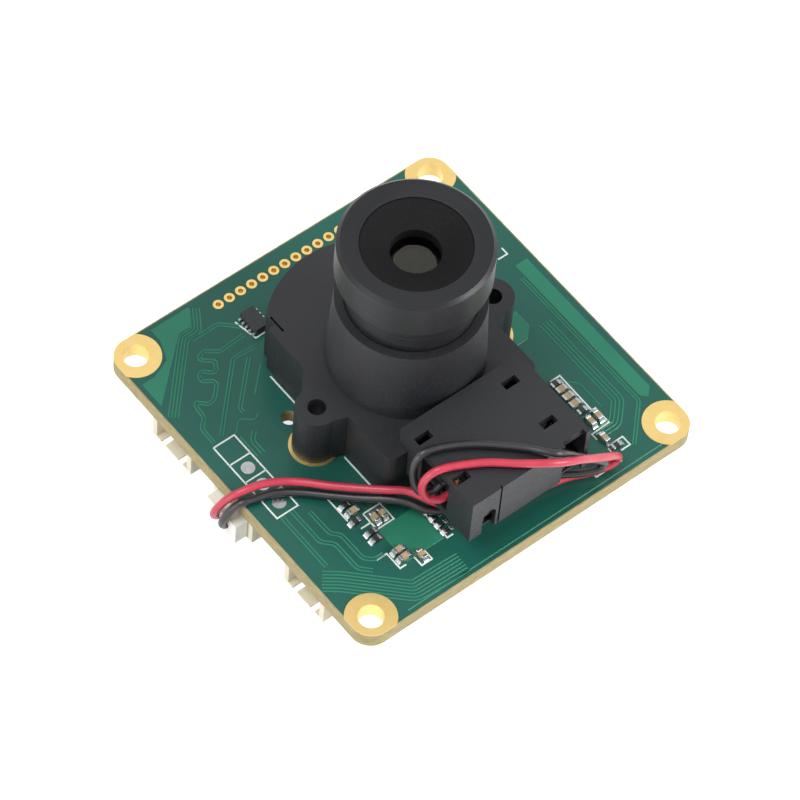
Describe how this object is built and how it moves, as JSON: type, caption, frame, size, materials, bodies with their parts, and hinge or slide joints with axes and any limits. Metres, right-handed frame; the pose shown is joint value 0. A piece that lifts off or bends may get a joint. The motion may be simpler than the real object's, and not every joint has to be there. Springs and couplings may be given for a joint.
{
  "type": "camera module",
  "caption": "Square board camera with an M12 lens on a moulded holder, a magnet-driven infrared filter changer and its red and black lead; mounted by its corner holes.",
  "frame": {"origin": "middle of the four corner holes, on the board's upper face", "axes": "+Z out of the lens, square to the board; +Y towards the header row; the three sockets are on the -X edge"},
  "size_m": [0.0399, 0.038, 0.0276],
  "materials": {
    "solder_mask": "green solder mask, satin gloss",
    "gold_plating": "gold plating over copper",
    "tinned_metal": "tinned contact metal",
    "holder_plastic": "moulded black plastic, fine grain",
    "frame_plastic": "moulded black plastic",
    "barrel_black": "black anodised, turned",
    "lens_glass": "coated glass",
    "infrared_glass": "pale blue-green cut filter glass",
    "clear_glass": "clear filter glass",
    "screw_steel": "plain steel",
    "magnet_metal": "bonded magnet, grey",
    "copper_wire": "enamelled copper wire",
    "white_nylon": "white moulded nylon",
    "cream_nylon": "cream moulded nylon",
    "red_insulation": "red wire insulation",
    "black_insulation": "black wire insulation",
    "chip_plastic": "black epoxy package",
    "sensor_face": "sensor package and die",
    "ceramic": "tan ceramic",
    "resistor_body": "black chip resistor glaze"
  },
  "bodies": {
    "module": {"circuit_board": "solder_mask", "corner_pads": "gold_plating", "header_pads": "gold_plating", "ear_pads": "gold_plating", "test_pads": "tinned_metal", "lens_holder": "holder_plastic", "holder_base": "frame_plastic", "holder_screws": "screw_steel", "image_sensor": "sensor_face", "sensor_glass": "clear_glass", "drive_cover": "holder_plastic", "drive_frame": "frame_plastic", "yoke": "screw_steel", "coil_bobbin": "frame_plastic", "coil_winding": "copper_wire", "coil_terminals": "tinned_metal", "rotor_axle": "screw_steel", "upper_socket": "cream_nylon", "middle_socket": "cream_nylon", "lower_socket": "cream_nylon", "socket_contacts": "tinned_metal", "lead_plug": "white_nylon", "plug_terminals": "tinned_metal", "red_lead": "red_insulation", "black_lead": "black_insulation", "driver_chip": "chip_plastic", "driver_chip_pins": "tinned_metal", "image_chip": "chip_plastic", "memory_chip": "chip_plastic", "memory_chip_pins": "tinned_metal", "crystal": "screw_steel", "inductor": "chip_plastic", "ceramic_capacitors": "ceramic", "chip_resistors": "resistor_body"},
    "lens": {"lens_barrel": "barrel_black", "front_retainer": "barrel_black", "front_element": "lens_glass", "front_spacer": "barrel_black", "aperture_stop": "barrel_black", "middle_element": "lens_glass", "rear_spacer": "barrel_black", "rear_element": "lens_glass", "rear_retainer": "barrel_black"},
    "filter": {"filter_slider": "frame_plastic", "infrared_filter": "infrared_glass", "clear_filter": "clear_glass"},
    "rotor": {"rotor_magnet": "magnet_metal", "drive_arm": "white_nylon"}
  },
  "joints": [
    {"name": "lens_focus", "type": "hinge", "parent": "module", "child": "lens", "pos_m": [0, 0, 0.0142], "axis": [0, 0, 1], "range_deg": [-180, 180]},
    {"name": "filter_slide", "type": "slide", "parent": "module", "child": "filter", "axis": [0, -1, 0], "range_m": [0, 0.0066]},
    {"name": "rotor_turn", "type": "hinge", "parent": "module", "child": "rotor", "pos_m": [0.0036, -0.0123, 0.005], "axis": [0, 0, 1], "range_deg": [0, 70]}
  ],
  "couplings": [
    {"joint": "rotor_turn", "follows": "filter_slide", "rad_per_m": 185.1}
  ]
}
